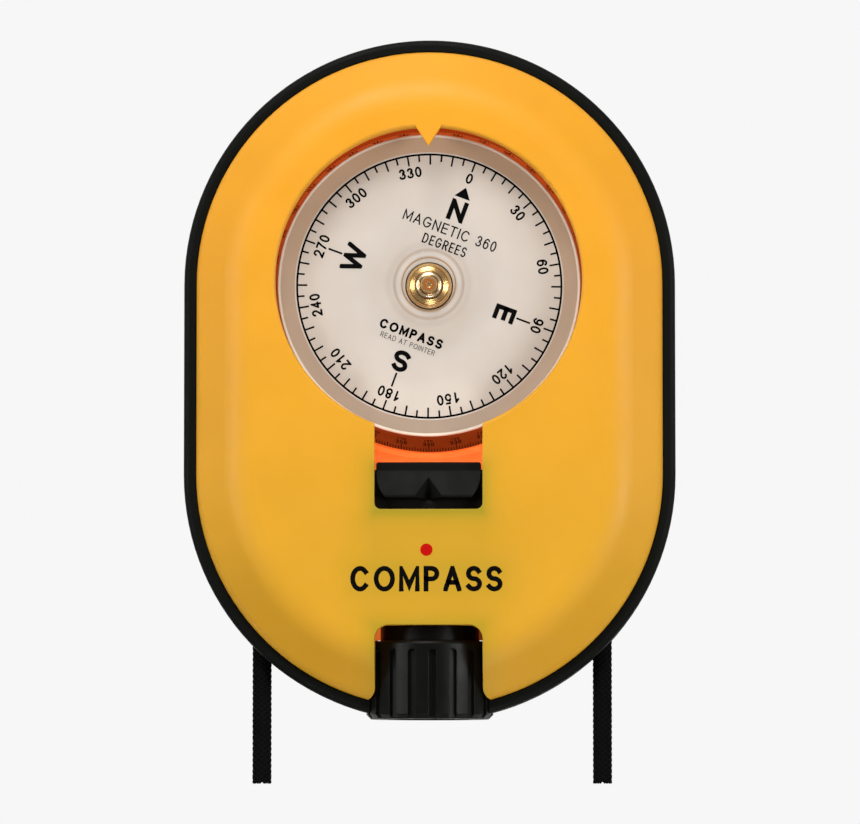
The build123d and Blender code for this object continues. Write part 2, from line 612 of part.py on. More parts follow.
def eyepiece_lens():
    """Double-convex lens: the common part of two balls, trimmed to its rim."""
    bulge = (LENS_CENTRE - LENS_EDGE) / 2
    ball_radius = (LENS_RADIUS ** 2 + bulge ** 2) / (2 * bulge)
    offset_y = ball_radius - LENS_CENTRE / 2
    ball = Sphere(ball_radius)
    lens = Pos(0, offset_y, 0) * ball & Pos(0, -offset_y, 0) * ball
    lens = lens & Rot(90, 0, 0) * Cylinder(LENS_RADIUS, LENS_CENTRE + 1)
    return Pos(0, CELL_START_Y - CELL_SEAT - LENS_EDGE / 2 - LENS_GAP, MID_Z) * lens


def lens_retainer():
    start = CELL_START_Y - CELL_SEAT - LENS_EDGE - 2 * LENS_GAP
    return tube(CELL_BORE, CELL_BORE - CELL_LIP, start, start - RETAINER_WIDTH)


def reticle_window():
    """Clear plate with the fine upright line the bearing is read against."""
    half = TUNNEL_HALF_WIDTH - TUNNEL_WALL
    plate = block(half, RETICLE_Y, RETICLE_Y - RETICLE_THICKNESS, TUNNEL_BASE_Z + TUNNEL_WALL, TUNNEL_TOP_Z - TUNNEL_WALL)
    return plate - block(0.06, RETICLE_Y, RETICLE_Y - 0.1, 0, CASE_HEIGHT)


def solid_through(points, faces):
    """Closed solid with flat faces, each given by the numbers of its corner points."""
    return Solid(Shell([make_face(Polyline([points[i] for i in face], close=True)).faces()[0] for face in faces]))


def sight_notch():
    """V groove: from a point on the slope, widest at the crest, to a point in the foot behind it."""
    rise = (SIGHT_CREST_Z - SIGHT_LEDGE_Z) / (SIGHT_LEDGE_Y - SIGHT_CREST_Y)
    start = Vector(0, NOTCH_START_Y, SIGHT_LEDGE_Z + rise * (SIGHT_LEDGE_Y - NOTCH_START_Y))
    widening = (NOTCH_START_Y - SIGHT_REAR_Y) / (NOTCH_START_Y - SIGHT_CREST_Y)
    wide = NOTCH_HALF_WIDTH * widening
    top_z = start.Z + rise * (NOTCH_START_Y - SIGHT_REAR_Y) + 0.3
    deep = Vector(0, SIGHT_REAR_Y - 0.1, NOTCH_DEEP_Z)
    left = Vector(-wide, SIGHT_REAR_Y - 0.1, top_z)
    right = Vector(wide, SIGHT_REAR_Y - 0.1, top_z)
    corners = [start, deep, left, right]
    groove = solid_through(corners, [(0, 1, 2), (0, 3, 1), (0, 2, 3), (1, 3, 2)])

    end = Vector(0, NOTCH_END_Y, SIGHT_FOOT_Z + 0.02)
    foot_left = Vector(-NOTCH_HALF_WIDTH, SIGHT_REAR_Y + 0.05, SIGHT_FOOT_Z + 0.02)
    foot_right = Vector(NOTCH_HALF_WIDTH, SIGHT_REAR_Y + 0.05, SIGHT_FOOT_Z + 0.02)
    foot_deep = Vector(0, SIGHT_REAR_Y + 0.05, NOTCH_DEEP_Z)
    corners = [end, foot_deep, foot_left, foot_right]
    pit = solid_through(corners, [(0, 2, 1), (0, 1, 3), (0, 3, 2), (1, 2, 3)])
    return groove, pit


def sight_block():
    """Rear sight: a slope rising towards the eye with a notch in its crest, on a flat foot."""
    profile = [
        (SIGHT_FRONT_Y, TUNNEL_TOP_Z), (SIGHT_FRONT_Y, SIGHT_LEDGE_Z - 0.2),
        (SIGHT_FRONT_Y - 0.2, SIGHT_LEDGE_Z), (SIGHT_LEDGE_Y, SIGHT_LEDGE_Z),
        (SIGHT_CREST_Y, SIGHT_CREST_Z), (SIGHT_CREST_Y - 0.25, SIGHT_CREST_Z - 0.1),
        (SIGHT_REAR_Y, SIGHT_FOOT_Z), (SIGHT_REAR_Y, TUNNEL_TOP_Z),
    ]
    face = make_face(Polyline([(-SIGHT_HALF_WIDTH, y, z) for y, z in profile], close=True))
    body = extrude(face, 2 * SIGHT_HALF_WIDTH, dir=(1, 0, 0))

    half = SIGHT_HALF_WIDTH
    rear = SIGHT_CREST_HALF_WIDTH
    near_corner = (half - SIGHT_FRONT_CORNER, SIGHT_FRONT_Y + 0.01)
    outline = Line((0, SIGHT_FRONT_Y + 0.01), near_corner)
    outline += RadiusArc(near_corner, (half, SIGHT_FRONT_Y - SIGHT_FRONT_CORNER), SIGHT_FRONT_CORNER)
    outline += Line((half, SIGHT_FRONT_Y - SIGHT_FRONT_CORNER), (half, SIGHT_SIDE_Y))
    outline += TangentArc((half, SIGHT_SIDE_Y), (rear, SIGHT_REAR_Y - 0.01), tangent=(0, -1))
    outline += Polyline((rear, SIGHT_REAR_Y - 0.01), (0, SIGHT_REAR_Y - 0.01), (0, SIGHT_FRONT_Y + 0.01))
    plan = Pos(0, 0, TUNNEL_TOP_Z) * make_face(outline)
    body = body & both_sides(extrude(plan, CASE_HEIGHT - TUNNEL_TOP_Z + 1))

    foot = block(TUNNEL_HALF_WIDTH, SHELF_END_Y - 0.05, SIGHT_FOOT_END_Y, TUNNEL_TOP_Z, SIGHT_FOOT_Z)
    groove, pit = sight_notch()
    return body + foot - groove - pit


# ------------------------------------------------------------------ lanyard

def cord(x):
    """Hanging cord on one side, from the rim outwards."""
    strand = rod(CORD_RADIUS, CORD_PIVOT_Y, CORD_END_Y + 0.6, x)
    strand += Pos(x, CORD_PIVOT_Y, MID_Z) * Sphere(CORD_RADIUS)
    tip = Pos(x, CORD_END_Y + 0.6, MID_Z) * Sphere(CORD_RADIUS)
    return strand + (tip & rod(CORD_RADIUS, CORD_END_Y + 0.6, CORD_END_Y, x))


def cord_knots():
    """Stopper knots inside the case with the cord that runs out through the band."""
    knots = []
    for x in (LEFT_CORD_X, RIGHT_CORD_X):
        knot = Pos(x, KNOT_Y, MID_Z) * Sphere(KNOT_RADIUS)
        knots.append(knot + rod(CORD_RADIUS, KNOT_Y, CORD_PIVOT_Y + CORD_RADIUS + 0.15, x))
    return Compound(children=knots)


# ------------------------------------------------------------------ write every piece

save(front_cover(), "front_cover")
save(rear_cover(), "rear_cover")
save(case_band(), "case_band")
save(cover_screws(), "cover_screws")
save(sight_block(), "sight_block")
save(capsule_cup(), "capsule_cup")
save(capsule_crystal(), "capsule_crystal")
save(filler_plug(), "filler_plug")
save(pivot_pin(), "pivot_pin")
save(dial_plate(), "dial_plate")
save(scale_skirt(), "scale_skirt")
save(card_hub(), "card_hub")
save(jewel_cup(), "jewel_cup")
save(magnet_axle(), "magnet_axle")
save(magnet(), "magnet")
save(optics_body(), "optics_body")
save(eyepiece_sleeve(), "eyepiece_sleeve")
save(reticle_window(), "reticle_window")
save(focus_seal(), "focus_seal")
save(ring_clip(), "ring_clip")
save(focus_ring(), "focus_ring")
save(lens_cell(), "lens_cell")
save(cam_pin(), "cam_pin")
save(eyepiece_lens(), "eyepiece_lens")
save(lens_retainer(), "lens_retainer")
save(cord_knots(), "cord_knots")
save(cord(LEFT_CORD_X), "lanyard_left")
save(cord(RIGHT_CORD_X), "lanyard_right")
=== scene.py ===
import json
import math
import random

import bmesh
import bpy
from mathutils import Matrix, Vector


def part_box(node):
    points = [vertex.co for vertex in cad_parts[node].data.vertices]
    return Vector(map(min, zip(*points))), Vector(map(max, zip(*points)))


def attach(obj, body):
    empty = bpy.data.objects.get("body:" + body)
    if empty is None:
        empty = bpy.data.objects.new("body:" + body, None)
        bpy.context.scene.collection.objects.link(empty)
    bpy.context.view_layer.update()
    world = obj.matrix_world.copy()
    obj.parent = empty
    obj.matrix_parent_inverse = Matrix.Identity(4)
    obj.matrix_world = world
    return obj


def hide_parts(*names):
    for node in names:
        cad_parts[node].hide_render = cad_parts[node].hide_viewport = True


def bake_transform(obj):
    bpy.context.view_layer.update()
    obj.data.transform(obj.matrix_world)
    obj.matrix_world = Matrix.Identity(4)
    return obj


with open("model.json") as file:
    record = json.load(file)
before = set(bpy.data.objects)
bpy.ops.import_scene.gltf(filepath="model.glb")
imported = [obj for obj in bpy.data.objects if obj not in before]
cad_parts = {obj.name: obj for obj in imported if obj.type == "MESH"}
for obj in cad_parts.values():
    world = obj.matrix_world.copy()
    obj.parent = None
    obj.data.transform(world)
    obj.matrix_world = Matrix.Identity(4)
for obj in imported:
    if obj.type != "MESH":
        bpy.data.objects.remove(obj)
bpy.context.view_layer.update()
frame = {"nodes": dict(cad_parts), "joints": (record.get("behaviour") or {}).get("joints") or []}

# Handheld bearing compass. Units are metres; sizes written in millimetres are multiplied by MM.
# Z runs up out of the dial, Y from the eyepiece towards the far end, X to the right.

MM = 0.001
nodes = frame["nodes"]
scene = bpy.context.scene
random.seed(11)


# ------------------------------------------------------------------ places read from the frame

def joint(name):
    """One joint of the frame, by name."""
    return [j for j in frame["joints"] if j["name"] == name][0]


dial_low, dial_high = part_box("dial_plate")
skirt_low, skirt_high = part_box("scale_skirt")
sight_low, sight_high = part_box("sight_block")

DIAL_Z = dial_low.z + 0.4 * MM
RIM_RADIUS = dial_high.x
BEVEL_RADIUS = RIM_RADIUS - 0.45 * MM
DIAL_FLAT_RADIUS = 21.0 * MM
SKIRT_TOP_Z = skirt_high.z
SKIRT_BOTTOM_Z = skirt_low.z
SKIRT_BOTTOM_RADIUS = skirt_high.x
SKIRT_SLOPE = math.hypot(SKIRT_TOP_Z - SKIRT_BOTTOM_Z, SKIRT_BOTTOM_RADIUS - RIM_RADIUS)
COVER_TOP_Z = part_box("front_cover")[1].z
MID_Z = COVER_TOP_Z / 2
SLOT_HALF_WIDTH = 8.4 * MM
MOUTH_START_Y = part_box("focus_ring")[1].y + 2.4 * MM   # inner end of the cut-out round the eyepiece
KNOTS_END_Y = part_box("cord_knots")[1].y

east = Vector(joint("magnet_tilt")["axis"])
CARD_TURN = math.atan2(east.y, east.x)


# ------------------------------------------------------------------ material helpers

def new_material(name):
    """An empty node material: returns it with its principled shader."""
    material = bpy.data.materials.new(name)
    material.use_nodes = True
    shader = material.node_tree.nodes["Principled BSDF"]
    return material, shader


def add(material, kind, inputs=None, **settings):
    """Adds a node. An input may be a value or another node's output."""
    node = material.node_tree.nodes.new(kind)
    for key, value in settings.items():
        setattr(node, key, value)
    for key, value in (inputs or {}).items():
        connect(material, node.inputs[key], value)
    return node


def connect(material, target, value):
    """Links an output to an input, or sets the input's value."""
    if isinstance(value, bpy.types.NodeSocket):
        material.node_tree.links.new(value, target)
    else:
        target.default_value = value


def calculate(material, operation, *values, clamp=False):
    """One math node on values or outputs."""
    inputs = dict(enumerate(values))
    return add(material, "ShaderNodeMath", inputs, operation=operation, use_clamp=clamp).outputs[0]


def place(material):
    """Object coordinates, in metres."""
    return add(material, "ShaderNodeTexCoord").outputs["Object"]


def world_place(material):
    """Separate X, Y and Z of the shaded point in the scene, whatever the piece's pose."""
    position = add(material, "ShaderNodeNewGeometry").outputs["Position"]
    return add(material, "ShaderNodeSeparateXYZ", {0: position}).outputs


def upward(material):
    """1 where the surface faces straight up, 0 on a wall, less below."""
    normal = add(material, "ShaderNodeNewGeometry").outputs["Normal"]
    return add(material, "ShaderNodeSeparateXYZ", {0: normal}).outputs["Z"]


def between(material, value, from_low, from_high, low=0.0, high=1.0):
    """Maps a range of a value onto another range, stopping at its ends."""
    inputs = {"Value": value, "From Min": from_low, "From Max": from_high, "To Min": low, "To Max": high}
    return add(material, "ShaderNodeMapRange", inputs).outputs[0]


def colour_input(colour):
    """A colour, or another node's output, as a colour input takes it."""
    return colour if isinstance(colour, bpy.types.NodeSocket) else (*colour, 1)


def blend_colours(material, amount, first, second):
    """Colour between two colours or outputs."""
    node = add(material, "ShaderNodeMix", data_type="RGBA")
    connect(material, node.inputs[0], amount)
    for socket, colour in ((node.inputs[6], first), (node.inputs[7], second)):
        connect(material, socket, colour_input(colour))
    return node.outputs[2]


def noise(material, size, detail=3.0):
    """Noise between 0 and 1 with features about size metres across."""
    inputs = {"Vector": place(material), "Scale": 1 / size, "Detail": detail}
    return add(material, "ShaderNodeTexNoise", inputs).outputs["Fac"]


def spread(material, value, low, high):
    """Maps 0.3..0.7 of a noise onto low..high."""
    return between(material, value, 0.3, 0.7, low, high)


def bump(material, height, strength, distance, edge=0.0):
    """Normal bumped by a height between 0 and 1, over edges softened to a small radius."""
    inputs = {"Height": height, "Strength": strength, "Distance": distance}
    if edge > 0:
        inputs["Normal"] = add(material, "ShaderNodeBevel", {"Radius": edge}, samples=4).outputs[0]
    return add(material, "ShaderNodeBump", inputs).outputs["Normal"]


def radius_from_axis(material):
    """Distance of the shaded point from the card's axis."""
    x, y, z = add(material, "ShaderNodeSeparateXYZ", {0: place(material)}).outputs
    flat = add(material, "ShaderNodeCombineXYZ", {0: x, 1: y}).outputs[0]
    return add(material, "ShaderNodeVectorMath", {0: flat}, operation="LENGTH").outputs["Value"]


def ring_mask(material, radius, middle, width):
    """1 on a ring round the card's axis, fading out over width."""
    offset = calculate(material, "SUBTRACT", radius, middle)
    scaled = calculate(material, "DIVIDE", offset, width)
    square = calculate(material, "MULTIPLY", scaled, scaled)
    return calculate(material, "POWER", math.e, calculate(material, "MULTIPLY", square, -1.0))


def near_rectangle(material, middle, half_size, reach):
    """1 at a rectangle in plan, fading out over reach metres round it."""
    axes = world_place(material)
    gaps = []
    for axis, centre, half in zip(axes, middle, half_size):
        distance = calculate(material, "ABSOLUTE", calculate(material, "SUBTRACT", axis, centre))
        gaps.append(calculate(material, "MAXIMUM", calculate(material, "SUBTRACT", distance, half), 0.0))
    corner = add(material, "ShaderNodeCombineXYZ", {0: gaps[0], 1: gaps[1]}).outputs[0]
    length = add(material, "ShaderNodeVectorMath", {0: corner}, operation="LENGTH").outputs["Value"]
    return calculate(material, "POWER", math.e, calculate(material, "DIVIDE", length, -reach))


def tinted(material, colour, amount, size):
    """The colour, a little lighter and darker in soft patches."""
    value = spread(material, noise(material, size), 1 - amount, 1 + amount)
    inputs = {"Color": colour_input(colour), "Value": value}
    return add(material, "ShaderNodeHueSaturation", inputs).outputs["Color"]


TONE = 0.03                # how much a moulding's tone varies, as a share
TONE_PATCH = 12 * MM


def moulded(name, colour, roughness, grain=0.25 * MM, depth=0.006 * MM, specular=0.5, edge=0.0):
    """Moulded plastic with a fine grain, soft patches of tone and uneven sheen."""
    material, shader = new_material(name)
    connect(material, shader.inputs["Base Color"], tinted(material, colour, TONE, TONE_PATCH))
    sheen = spread(material, noise(material, 4 * MM, 4), roughness * 0.88, roughness * 1.12)
    connect(material, shader.inputs["Roughness"], sheen)
    shader.inputs["Specular IOR Level"].default_value = specular
    connect(material, shader.inputs["Normal"], bump(material, noise(material, grain, 2), 0.6, depth, edge))
    return material


def machined(name, colour, roughness):
    """Metal with a satin grain."""
    material, shader = new_material(name)
    connect(material, shader.inputs["Base Color"], tinted(material, colour, 0.04, 2 * MM))
    grain = noise(material, 0.4 * MM, 3)
    sheen = spread(material, grain, roughness * 0.8, roughness * 1.25)
    connect(material, shader.inputs["Roughness"], sheen)
    shader.inputs["Metallic"].default_value = 1.0
    connect(material, shader.inputs["Normal"], bump(material, grain, 0.3, 0.004 * MM))
    return material


def glowing(material, shader, colour, strength):
    """Adds painted light: an emitted glow that stands in for the brightness of a fluorescent plastic."""
    connect(material, shader.inputs["Emission Color"], colour_input(colour))
    connect(material, shader.inputs["Emission Strength"], strength)


CLEAR_ROUGHNESS = 0.02


def clear(name, tint, film=0.004, own=0.0, own_colour=(1, 1, 1), rings=()):
    """Clear moulding: light goes straight through a tint, with a faint reflection.

    A share of it, own, is a solid colour. Each ring is a radius, a width and the painted tint light takes
    on there, standing in for where a step in the moulding bends it.
    """
    material, shader = new_material(name)
    tree = material.node_tree
    radius = radius_from_axis(material) if rings else None
    for middle, width, ring_tint in rings:
        tint = blend_colours(material, ring_mask(material, radius, middle, width), tint, ring_tint)
    through = add(material, "ShaderNodeBsdfTransparent", {"Color": colour_input(tint)})
    patches = noise(material, 3 * MM)
    shine_rough = spread(material, patches, CLEAR_ROUGHNESS * 0.7, CLEAR_ROUGHNESS * 1.4)
    normal = bump(material, noise(material, 6 * MM, 1), 0.2, 0.01 * MM)
    shine = add(material, "ShaderNodeBsdfGlossy", {"Roughness": shine_rough, "Normal": normal})
    facing = add(material, "ShaderNodeLayerWeight", {"Blend": 0.25}).outputs["Facing"]
    grazing = calculate(material, "POWER", facing, 5.0)
    amount = calculate(material, "ADD", grazing, film, clamp=True)
    body = through.outputs[0]
    if own > 0:
        own_tone = tinted(material, own_colour, 0.04, 4 * MM)
        solid = add(material, "ShaderNodeBsdfDiffuse", {"Color": own_tone})
        mix = {0: own, 1: body, 2: solid.outputs[0]}
        body = add(material, "ShaderNodeMixShader", mix).outputs[0]
    mixed = add(material, "ShaderNodeMixShader", {0: amount, 1: body, 2: shine.outputs[0]})
    tree.nodes.remove(shader)
    tree.links.new(mixed.outputs[0], tree.nodes["Material Output"].inputs["Surface"])
    return material


# ------------------------------------------------------------------ materials

WORD_PLACE = Vector((-0.3 * MM, -46.1 * MM, COVER_TOP_Z))
WORD_WIDTH = 23.6 * MM
WORD_HEIGHT = 3.95 * MM
DOT_Y = -41.6 * MM

# painted light: the yellow is painted darker towards the eyepiece and lighter towards the far end, where
# the lamps' light falls
NEAR_YELLOW_PAINTED_SHADE = (0.575, 0.288, 0.017)
FAR_YELLOW_PAINTED_LIGHT = (0.66, 0.288, 0.016)
SHADED_YELLOW = (0.28, 0.225, 0.012)
FULL_SHADE = 0.43          # where this share of the light is left, the yellow is fully shaded
OWN_COLOUR = (0.5, 0.5, 0.5)   # a start for mouldings whose colour is worked out afterwards


def yellow_cover_material():
    """Satin yellow plastic, painted lighter towards the far end, with painted shade beside the black
    pieces, the word and the dot.
    """
    material = moulded("yellow_plastic", OWN_COLOUR, 0.48, edge=0.25 * MM, specular=0.2)
    shader = material.node_tree.nodes["Principled BSDF"]
    # painted light along the case, from painted shade at the eyepiece end to painted light at the far end
    painted_light_share = between(material, world_place(material)["Y"], -45 * MM, 10 * MM)
    colour = blend_colours(material, painted_light_share, NEAR_YELLOW_PAINTED_SHADE, FAR_YELLOW_PAINTED_LIGHT)
    plain = tinted(material, colour, TONE, TONE_PATCH)
    sight_y = (sight_low.y + sight_high.y) / 2
    sight_half_length = (sight_high.y - sight_low.y) / 2 - 0.8 * MM
    # each painted shade: the middle and half size of a rectangle, its reach, and the share of light it
    # takes;
    # they are the sight, the eyepiece's cut-out as far as beyond the case, the word and the dot
    painted_shades = [
        ((0, sight_y), (SLOT_HALF_WIDTH, sight_half_length), 1.5 * MM, 0.44),
        ((0, 2 * MOUTH_START_Y), (SLOT_HALF_WIDTH, -MOUTH_START_Y), 1.9 * MM, 0.34),
        (WORD_PLACE[:2], (WORD_WIDTH / 2, WORD_HEIGHT / 2), 1.6 * MM, 0.13),
        ((0, DOT_Y), (SLOT_HALF_WIDTH, 3 * MM), 4.0 * MM, 0.15),
    ]
    light = 1.0
    for middle, half_size, reach, amount in painted_shades:
        near = near_rectangle(material, middle, half_size, reach)
        light = calculate(material, "MULTIPLY", light, between(material, near, 0, 1, 1, 1 - amount))
    # painted shade: near these rectangles the yellow turns darker and greener, only on faces that look up
    shade = between(material, light, FULL_SHADE, 1, 1, 0)
    facing_up = between(material, upward(material), 0.55, 0.95)
    shade = calculate(material, "MULTIPLY", shade, facing_up)
    colour = blend_colours(material, shade, plain, SHADED_YELLOW)
    connect(material, shader.inputs["Base Color"], colour)
    return material


def orange_capsule_material():
    """Clear fluorescent orange plastic with a painted glow: full in the slot near the eyepiece, painted
    dimmer under the dial, with painted shade on its right side at the eyepiece.
    """
    material = moulded("orange_clear", (0.80, 0.14, 0.025), 0.35, grain=1.5 * MM, depth=0.004 * MM)
    shader = material.node_tree.nodes["Principled BSDF"]
    glow = spread(material, noise(material, 3 * MM), 0.50, 0.60)
    axes = world_place(material)
    # painted shade: the glow is painted out on the right side at the eyepiece, and painted dimmer under the
    # dial
    at_eyepiece = between(material, axes["Y"], MOUTH_START_Y, MOUTH_START_Y + 2 * MM, 1, 0)
    unlit_side = between(material, axes["X"], -5 * MM, 5 * MM, 0, 0.85)
    shade = calculate(material, "MULTIPLY", at_eyepiece, unlit_side)
    glow = calculate(material, "MULTIPLY", glow, calculate(material, "SUBTRACT", 1.0, shade))
    under_dial = between(material, axes["Y"], -23 * MM, -18 * MM, 1, 0.2)
    glow = calculate(material, "MULTIPLY", glow, under_dial)
    glowing(material, shader, (1.0, 0.21, 0.035), glow)
    return material


def orange_skirt_material():
    """Thin orange plastic with a weaker painted glow, painted stronger towards the far end where the lamps'
    light falls.
    """
    material = moulded("orange_skirt", (0.13, 0.030, 0.009), 0.5, grain=0.5 * MM, depth=0.004 * MM)
    shader = material.node_tree.nodes["Principled BSDF"]
    axes = world_place(material)
    # painted light: the glow is painted much stronger towards the far end
    far = between(material, axes["Y"], -RIM_RADIUS, RIM_RADIUS, 0.055, 0.36)
    mottle = spread(material, noise(material, 0.35 * MM, 2), 0.85, 1.15)
    glowing(material, shader, (1.0, 0.15, 0.024), calculate(material, "MULTIPLY", far, mottle))
    return material


def silver_dial_material():
    """Silver paint: flat face painted lighter towards its edge, browner sloping border painted lighter
    towards the far end, and a painted highlight along the edge.
    """
    material = moulded("silver_paint", OWN_COLOUR, 0.62, grain=0.12 * MM, depth=0.003 * MM, specular=0.2)
    shader = material.node_tree.nodes["Principled BSDF"]
    radius = radius_from_axis(material)
    # painted light: the sloping border is painted lighter towards the far end
    height = between(material, world_place(material)["Y"], -RIM_RADIUS, RIM_RADIUS)
    slope = blend_colours(material, height, (0.354, 0.268, 0.206), (0.44, 0.288, 0.186))
    # painted light: the face is painted lighter towards its edge, to even out the shade that falls there
    painted_light_towards_edge = between(material, radius, 10 * MM, DIAL_FLAT_RADIUS)
    face = blend_colours(material, painted_light_towards_edge, (0.50, 0.455, 0.420), (0.590, 0.525, 0.470))
    on_slope = between(material, radius, DIAL_FLAT_RADIUS, DIAL_FLAT_RADIUS + 0.1 * MM)
    colour = blend_colours(material, on_slope, face, slope)
    # painted highlight along the rounded outer edge
    painted_highlight_edge = between(material, radius, BEVEL_RADIUS - 0.05 * MM, BEVEL_RADIUS + 0.05 * MM)
    colour = blend_colours(material, painted_highlight_edge, colour, (0.86, 0.76, 0.64))
    connect(material, shader.inputs["Base Color"], tinted(material, colour, TONE, 5 * MM))
    return material


DARK_BRASS = (0.56, 0.38, 0.16)
LIGHT_BRASS = (0.84, 0.62, 0.33)
LATHE_PITCH = 0.28 * MM

# radius, width and tint of painted rings: the painted reflection of the jewel, then painted shade and a
# painted highlight on the steps of the hub, and painted shadow in the gap round it
BRASS_PAINTED_RINGS = (
    (0.72 * MM, 0.22 * MM, (1.00, 0.27, 0.05)),
    (1.45 * MM, 0.12 * MM, (0.24, 0.11, 0.03)),
    (1.80 * MM, 0.10 * MM, (0.95, 0.82, 0.66)),
    (2.12 * MM, 0.14 * MM, (0.20, 0.11, 0.04)),
    (3.00 * MM, 0.10 * MM, (0.36, 0.21, 0.08)),
    (3.66 * MM, 0.10 * MM, (0.05, 0.03, 0.015)),
)


def brass_material():
    """Turned brass with fine rings from the lathe, and painted rings of reflection, highlight and shade."""
    material, shader = new_material("brass")
    radius = radius_from_axis(material)
    wave = calculate(material, "SINE", calculate(material, "MULTIPLY", radius, 2 * math.pi / LATHE_PITCH))
    half_wave = calculate(material, "MULTIPLY", wave, 0.5)
    lines = calculate(material, "ADD", half_wave, noise(material, 0.3 * MM, 2))
    colour = blend_colours(material, between(material, lines, 0, 1.2), DARK_BRASS, LIGHT_BRASS)
    # painted reflection, highlight and shade laid on as rings
    for middle, width, tint in BRASS_PAINTED_RINGS:
        colour = blend_colours(material, ring_mask(material, radius, middle, width), colour, tint)
    connect(material, shader.inputs["Base Color"], colour)
    shader.inputs["Metallic"].default_value = 0.75
    shader.inputs["Roughness"].default_value = 0.26
    connect(material, shader.inputs["Normal"], bump(material, lines, 0.6, 0.02 * MM))
    return material


# radius, width and tint of painted rings where the crystal's steps bend light: painted shade at the edge of
# the pocket over the hub, then painted light and shade over the ripples round it and a painted shadow
# beyond
CRYSTAL_PAINTED_RINGS = (
    (4.2 * MM, 0.13 * MM, (0.80, 0.66, 0.50)),
    (4.75 * MM, 0.3 * MM, (1.0, 1.0, 1.0)),
    (5.4 * MM, 0.25 * MM, (0.86, 0.80, 0.74)),
    (6.2 * MM, 0.6 * MM, (0.95, 0.94, 0.93)),
)

yellow_plastic = yellow_cover_material()
black_plastic = moulded("black_plastic", (0.0042, 0.0045, 0.0037), 0.55, specular=0.06, edge=0.2 * MM)
black_ribbed = moulded("black_ribbed", (0.0036, 0.0038, 0.0032), 0.40, specular=0.10, edge=0.2 * MM)
black_inner = moulded("black_inner", (0.0040, 0.0042, 0.0036), 0.5, specular=0.10)
orange_clear = orange_capsule_material()
orange_skirt = orange_skirt_material()
crystal_plastic = clear("crystal_plastic", (0.99, 0.985, 0.975), rings=CRYSTAL_PAINTED_RINGS)
clear_plastic = clear("clear_plastic", (0.99, 0.985, 0.975), film=0.03)
lens_glass = clear("lens_glass", (0.92, 0.97, 1.0), film=0.06)
ruby = clear("ruby", (0.9, 0.25, 0.1), own=0.4, own_colour=(0.7, 0.1, 0.03))
seal_rubber = moulded("seal_rubber", (0.010, 0.010, 0.010), 0.65)
plated_steel = machined("plated_steel", (0.55, 0.55, 0.54), 0.3)
hard_steel = machined("hard_steel", (0.5, 0.5, 0.5), 0.2)
brass = brass_material()
dark_alloy = machined("dark_alloy", (0.12, 0.12, 0.13), 0.4)
silver_paint = silver_dial_material()
black_ink = moulded("black_ink", (0.002, 0.002, 0.002), 0.6, specular=0.03)
red_ink = moulded("red_ink", (0.40, 0.004, 0.003), 0.5, specular=0.05)
cord_fibre = moulded(
    "cord_fibre", (0.0028, 0.0028, 0.0028), 0.9, grain=0.12 * MM, depth=0.03 * MM, specular=0.04)

CAD_MATERIALS = {
    yellow_plastic: ["front_cover", "rear_cover"],
    black_plastic: ["case_band", "sight_block"],
    black_ribbed: ["focus_ring", "eyepiece_sleeve"],
    black_inner: ["lens_cell", "lens_retainer"],
    orange_clear: ["capsule_cup", "optics_body"],
    orange_skirt: ["scale_skirt"],
    crystal_plastic: ["capsule_crystal"],
    clear_plastic: ["reticle_window"],
    lens_glass: ["eyepiece_lens"],
    ruby: ["jewel_cup"],
    seal_rubber: ["focus_seal"],
    plated_steel: ["cover_screws", "ring_clip", "cam_pin", "magnet_axle"],
    hard_steel: ["pivot_pin"],
    brass: ["card_hub", "filler_plug"],
    dark_alloy: ["magnet"],
    silver_paint: ["dial_plate"],
}

for material, names in CAD_MATERIALS.items():
    for name in names:
        nodes[name].data.materials.clear()
        nodes[name].data.materials.append(material)


# ------------------------------------------------------------------ mesh helpers

def new_piece(name, mesh, material, body):
    """Links a finished mesh as a piece riding on a body."""
    piece = bpy.data.objects.new(name, mesh)
    scene.collection.objects.link(piece)
    mesh.materials.clear()
    mesh.materials.append(material)
    if body:
        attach(piece, body)
    return piece


def finished(builder, name):
    """The mesh of a builder, its faces turned outwards."""
    bmesh.ops.recalc_face_normals(builder, faces=builder.faces)
    mesh = bpy.data.meshes.new(name)
    builder.to_mesh(mesh)
    builder.free()
    return mesh


def join(name, meshes):
    """One mesh out of several."""
    builder = bmesh.new()
    for mesh in meshes:
        builder.from_mesh(mesh)
    joined = bpy.data.meshes.new(name)
    builder.to_mesh(joined)
    builder.free()
    return joined


INK = 0.03 * MM            # thickness of printing on the card, half of it sunk in


def plates(outlines, thickness=INK):
    """Flat closed plates with the given outlines, lying in the XY plane."""
    half = thickness / 2
    builder = bmesh.new()
    for points in outlines:
        low = [builder.verts.new((x, y, -half)) for x, y in points]
        high = [builder.verts.new((x, y, half)) for x, y in points]
        builder.faces.new(low[::-1])
        builder.faces.new(high)
        for i in range(len(points)):
            j = (i + 1) % len(points)
            builder.faces.new((low[i], low[j], high[j], high[i]))
    return finished(builder, "plates")


def bar(width, length):
    """Flat bar centred on the origin, its length along Y."""
    x, y = width / 2, length / 2
    return plates([[(-x, -y), (x, -y), (x, y), (-x, y)]])


def ring(inner, outer, steps=240):
    """Flat closed ring round the origin."""
    half = INK / 2
    corners = [(inner, -half), (outer, -half), (outer, half), (inner, half)]
    builder = bmesh.new()
    loops = []
    for i in range(steps):
        angle = 2 * math.pi * i / steps
        x, y = math.cos(angle), math.sin(angle)
        loops.append([builder.verts.new((r * x, r * y, z)) for r, z in corners])
    count = len(corners)
    for i in range(steps):
        a, b = loops[i], loops[(i + 1) % steps]
        for k in range(count):
            m = (k + 1) % count
            builder.faces.new((a[k], b[k], b[m], a[m]))
    return finished(builder, "ring")


